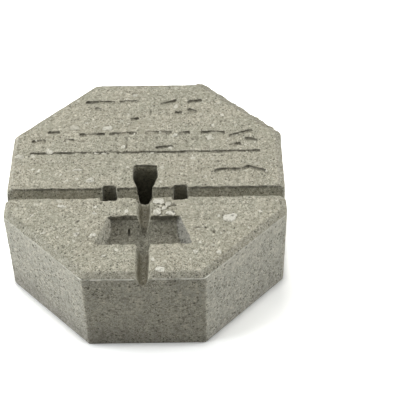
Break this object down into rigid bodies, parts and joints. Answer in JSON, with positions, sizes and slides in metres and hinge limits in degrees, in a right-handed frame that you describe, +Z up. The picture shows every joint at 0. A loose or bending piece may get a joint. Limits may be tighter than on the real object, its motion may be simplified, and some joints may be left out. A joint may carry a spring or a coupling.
{
  "type": "concrete rod base block",
  "caption": "Octagonal precast concrete base block that holds an upright rod by its weight, with a keyhole-shaped rod hole, crossing conductor channels and a clamp pocket.",
  "frame": {"origin": "middle of the octagon on the underside, which lies on z = 0", "axes": "+Z up, X along the cross channel, -Y towards the flat side that the front channel leaves through"},
  "size_m": [0.3, 0.3, 0.11],
  "materials": {
    "concrete": "dry-cast concrete, matt and grainy, with small pits and exposed light aggregate"
  },
  "bodies": {
    "root": {"base_block": "concrete"}
  },
  "joints": []
}
